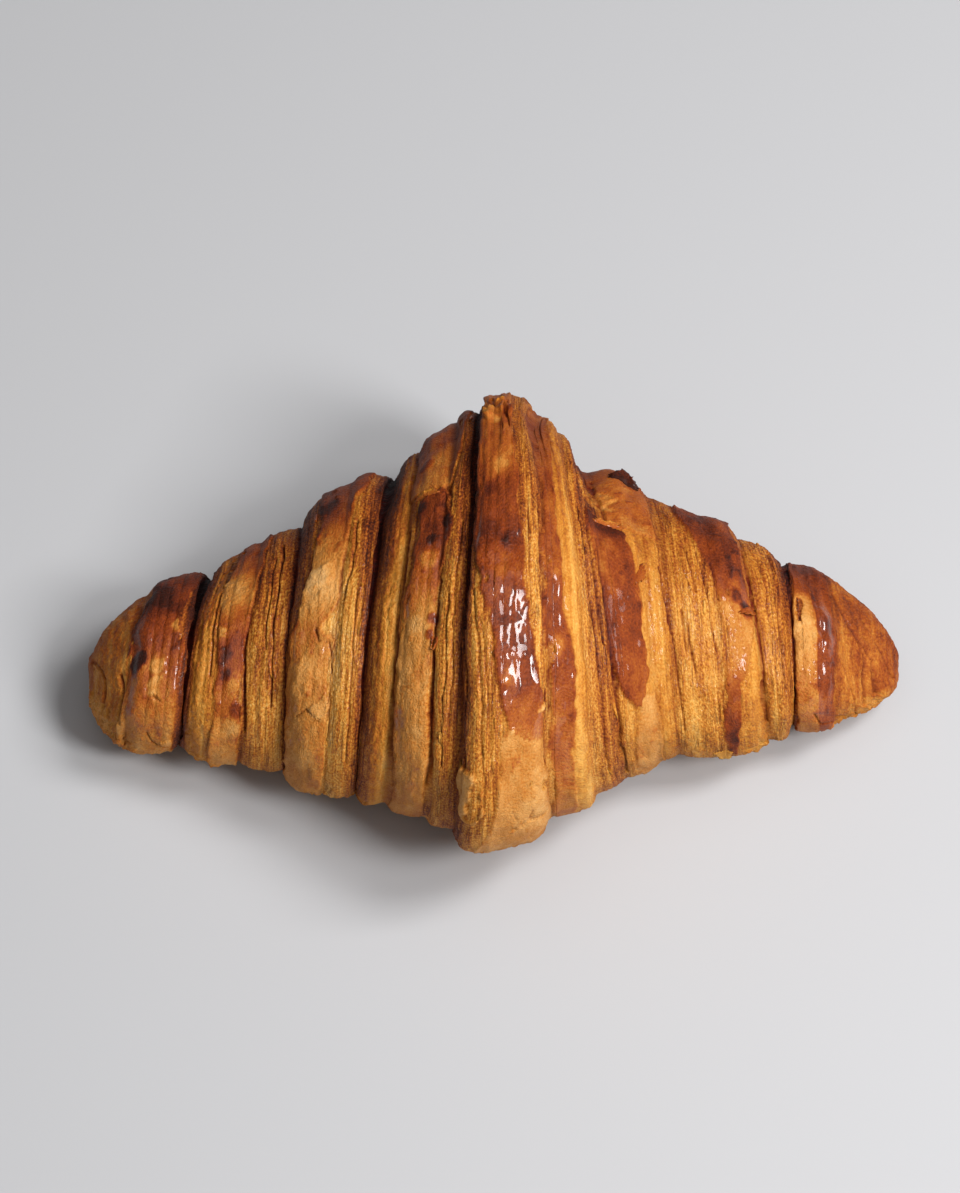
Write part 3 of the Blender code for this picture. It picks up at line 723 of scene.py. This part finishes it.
# %% Colour and node helpers
def linear(hex_colour):
    """An sRGB colour such as #C48B50 as linear red, green, blue and alpha."""
    parts = [int(hex_colour[i:i + 2], 16) / 255 for i in (1, 3, 5)]
    return tuple(c / 12.92 if c <= 0.04045 else ((c + 0.055) / 1.055) ** 2.4 for c in parts) + (1.0,)


def add(tree, kind, inputs=None, **settings):
    """Adds a node with these settings. An input is either a value or another node's output."""
    node = tree.nodes.new(kind)
    for name, value in settings.items():
        setattr(node, name, value)
    for socket, value in (inputs or {}).items():
        if isinstance(value, bpy.types.NodeSocket):
            tree.links.new(value, node.inputs[socket])
        else:
            node.inputs[socket].default_value = value
    return node


# %% [markdown]
# ## Egg-washed laminated dough
# One material serves the whole crust, because the oven made it in one go. The numbers that the
# shape carries along decide what shows where: `bake` how brown, with painted groove shade and bounce
# light in it, `skin` whether it is the smooth outside or the cut leaves, `glaze` how much egg wash
# lies on it, `painted_crevice_shade` how much shade is painted into its hollows.
# Browning runs along two colour ramps. They follow what sugar and protein do in the oven: cream,
# gold, amber, rust and almost black.

# %% The crust's material
LEAF_STOPS = ((0.0, "#EEC27C"), (0.25, "#DFA24A"), (0.45, "#C57C26"), (0.65, "#984B0F"),
              (0.82, "#672905"), (1.0, "#370F01"))
SKIN_STOPS = ((0.0, "#E6B779"), (0.25, "#D49852"), (0.42, "#BF792E"), (0.55, "#A85716"),
              (0.70, "#883808"), (0.85, "#5C1F03"), (1.0, "#330E01"))
crust = bpy.data.materials.new("egg_washed_laminated_dough")
crust.use_nodes = True
tree = crust.node_tree
shader = tree.nodes["Principled BSDF"]
amount = {name: add(tree, "ShaderNodeAttribute", attribute_name=name).outputs["Fac"]
          for name in ("bake", "skin", "glaze", "painted_crevice_shade", "layered")}
place = add(tree, "ShaderNodeAttribute", attribute_name="roll").outputs["Vector"]

# Cells to a millimetre across the leaves and round the roll, and detail: threads run round the
# roll, grain goes every way, and grain finer than a fifth of a millimetre would not show
NOISES = {"threads": (3.4, 0.10, 2.0), "gaps": (1.6, 0.06, 2.0), "mask": (0.35, 0.10, 1.0),
          "grain": (2.8, 1.9, 3.0), "sparkle": (4.5, 3.2, 2.0), "wrinkles": (0.45, 0.25, 1.0)}
noise = {}
for name, (across, around, detail) in NOISES.items():
    stretched = add(tree, "ShaderNodeVectorMath", {0: place, 1: (across, around, 0.0)},
                    operation="MULTIPLY")
    texture = add(tree, "ShaderNodeTexNoise", {"Vector": stretched.outputs[0], "Scale": 1.0,
                                               "Detail": detail, "Roughness": 0.55})
    noise[name] = texture.outputs["Fac"]

# Where the threads' noise crosses its middle value it draws long thin lines: the gaps
off_line = add(tree, "ShaderNodeMath", {0: noise["gaps"], 1: 0.5}, operation="SUBTRACT")
off_line = add(tree, "ShaderNodeMath", {0: off_line.outputs[0]}, operation="ABSOLUTE")
line = add(tree, "ShaderNodeMapRange", {"Value": off_line.outputs[0], "From Min": 0.020,
                                        "From Max": 0.004})
here = add(tree, "ShaderNodeMapRange", {"Value": noise["mask"], "From Min": 0.40, "From Max": 0.60})
line = add(tree, "ShaderNodeMath", {0: line.outputs[0], 1: here.outputs[0]}, operation="MULTIPLY")
line = add(tree, "ShaderNodeMath", {0: line.outputs[0], 1: amount["layered"]},
           operation="MULTIPLY").outputs[0]

# Browning with the grain on it, through the two ramps
grain = add(tree, "ShaderNodeMapRange", {"Value": noise["grain"], "From Min": 0.3, "From Max": 0.7,
                                         "To Min": -0.08, "To Max": 0.08}).outputs[0]
threads = add(tree, "ShaderNodeMapRange", {"Value": noise["threads"], "From Min": 0.3,
                                           "From Max": 0.7, "To Min": -0.10, "To Max": 0.10})
threads = add(tree, "ShaderNodeMath", {0: grain, 1: 1.5, 2: threads.outputs[0]},
              operation="MULTIPLY_ADD")
threads = add(tree, "ShaderNodeMath", {0: threads.outputs[0], 1: amount["layered"], 2: grain},
              operation="MULTIPLY_ADD")
tone = add(tree, "ShaderNodeMath", {0: amount["bake"], 1: threads.outputs[0]}, operation="ADD")
shades = []
for stops in (LEAF_STOPS, SKIN_STOPS):
    ramp = add(tree, "ShaderNodeValToRGB", {0: tone.outputs[0]})
    for position, colour in stops[1:-1]:
        ramp.color_ramp.elements.new(position)
    for element, (position, colour) in zip(ramp.color_ramp.elements, stops):
        element.position = position
        element.color = linear(colour)
    shades.append(ramp.outputs["Color"])
colour = add(tree, "ShaderNodeMix", data_type="RGBA")
for socket, source in (("Factor", amount["skin"]), ("A", shades[0]), ("B", shades[1])):
    tree.links.new(source, colour.inputs[socket])

# Gaps and crevices darken it: the gap lines are partly darker dough and partly painted shade, the
# crevices are painted shade
dark = add(tree, "ShaderNodeMath", {0: line, 1: 0.6, 2: amount["painted_crevice_shade"]},
           operation="MULTIPLY_ADD", use_clamp=True)
shaded = add(tree, "ShaderNodeMix", data_type="RGBA", blend_type="MULTIPLY")
tree.links.new(dark.outputs[0], shaded.inputs["Factor"])
tree.links.new(colour.outputs["Result"], shaded.inputs["A"])
# The colour that the painted shade multiplies in
shaded.inputs["B"].default_value = linear("#8E4818")
tree.links.new(shaded.outputs["Result"], shader.inputs["Base Color"])

# Dry leaves are satin, egg wash is nearly wet, and the brush laid it thicker in some places
polish = add(tree, "ShaderNodeMapRange", {"Value": amount["glaze"], "To Min": 0.66, "To Max": 0.40})
tree.links.new(polish.outputs[0], shader.inputs["Roughness"])
brushed = add(tree, "ShaderNodeMapRange", {"Value": noise["mask"], "From Min": 0.40,
                                           "From Max": 0.56, "To Min": 0.40, "To Max": 1.0})
coat = add(tree, "ShaderNodeMath", {0: amount["glaze"], 1: brushed.outputs[0]}, operation="MULTIPLY")
tree.links.new(coat.outputs[0], shader.inputs["Coat Weight"])
shader.inputs["Coat Roughness"].default_value = 0.07
shader.inputs["IOR"].default_value = 1.45
shader.inputs["Specular IOR Level"].default_value = 0.25
shader.inputs["Subsurface Weight"].default_value = 0.06
shader.inputs["Subsurface Radius"].default_value = (1.0, 0.45, 0.2)
shader.inputs["Subsurface Scale"].default_value = 0.001
gaps = add(tree, "ShaderNodeBump", {"Height": line, "Strength": 0.8, "Distance": 0.0003}, invert=True)
bumps = add(tree, "ShaderNodeBump", {"Height": noise["grain"], "Normal": gaps.outputs[0],
                                     "Strength": 0.8, "Distance": 0.0004})
fizz = add(tree, "ShaderNodeBump", {"Height": noise["sparkle"], "Normal": bumps.outputs[0],
                                    "Strength": 0.8, "Distance": 0.0002})
tree.links.new(fizz.outputs[0], shader.inputs["Normal"])

# The wash dried with wrinkles of its own, which break its highlights up
glints = add(tree, "ShaderNodeMath", {0: noise["sparkle"], 1: amount["layered"]},
             operation="MULTIPLY")
wet = add(tree, "ShaderNodeBump", {"Height": noise["wrinkles"], "Strength": 0.8, "Distance": 0.0006})
wet = add(tree, "ShaderNodeBump", {"Height": glints.outputs[0], "Normal": wet.outputs[0],
                                   "Strength": 0.8, "Distance": 0.0002})
tree.links.new(wet.outputs[0], shader.inputs["Coat Normal"])

for piece in pieces:
    piece.data.materials.append(crust)
    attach(piece, "root")
    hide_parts("croissant")

# %% [markdown]
# ## The table, the light and the camera
# The croissant lies on a plain pale board. Egg wash shows only by what it mirrors, so two small
# softboxes on the right stand for windows and draw the white highlights, while a wide, weak one
# above fills the shadows. The camera looks down at 60 degrees through a long lens.

# %% A pale table
bpy.ops.mesh.primitive_plane_add(size=6)
table = bpy.context.object
table.name = "table"
board = bpy.data.materials.new("matt_pale_grey_board")
board.use_nodes = True
board.node_tree.nodes["Principled BSDF"].inputs["Base Color"].default_value = linear("#B6B6B8")
board.node_tree.nodes["Principled BSDF"].inputs["Roughness"].default_value = 0.8
table.data.materials.append(board)

# %% Light
CENTRE = (0.0, 0.0, 0.025)


def softbox(name, azimuth, elevation, distance, width, height, watts):
    """An area light that looks at the croissant. Azimuth 0 is the front, 90 the right."""
    a, e = math.radians(azimuth), math.radians(elevation)
    direction = np.array([math.sin(a) * math.cos(e), -math.cos(a) * math.cos(e), math.sin(e)])
    data = bpy.data.lights.new(name, "AREA")
    data.shape, data.size, data.size_y, data.energy = "RECTANGLE", width, height, watts
    lamp = bpy.data.objects.new(name, data)
    lamp.location = np.array(CENTRE) + direction * distance
    lamp.rotation_euler = (math.pi / 2 - e, 0, a)
    bpy.context.scene.collection.objects.link(lamp)


softbox("rear_window", 90, 58, 0.9, 0.24, 0.34, 5.6)
softbox("front_window", 54, 47, 0.9, 0.20, 0.30, 6.2)
softbox("ceiling", 0, 78, 1.4, 2.2, 2.2, 8.0)
world = bpy.data.worlds.new("pale_room")
world.use_nodes = True
world.node_tree.nodes["Background"].inputs["Color"].default_value = linear("#F4F2F1")
world.node_tree.nodes["Background"].inputs["Strength"].default_value = 0.06
bpy.context.scene.world = world
bpy.context.scene.view_settings.view_transform = "Standard"

# %% Camera
ELEVATION = math.radians(60)
DISTANCE = 0.9
FRAME_WIDTH = 0.1765
up = np.array([0, math.sin(ELEVATION), math.cos(ELEVATION)])
aim = np.array([-0.0024, 0.0, 0.025]) + 0.0056 * up
back = np.array([0, -math.cos(ELEVATION), math.sin(ELEVATION)])
camera_data = bpy.data.cameras.new("camera")
camera_data.sensor_fit = "HORIZONTAL"
camera_data.lens = camera_data.sensor_width * DISTANCE / FRAME_WIDTH
camera = bpy.data.objects.new("camera", camera_data)
camera.location = aim + back * DISTANCE
camera.rotation_euler = (math.pi / 2 - ELEVATION, 0, 0)
bpy.context.scene.collection.objects.link(camera)
bpy.context.scene.camera = camera
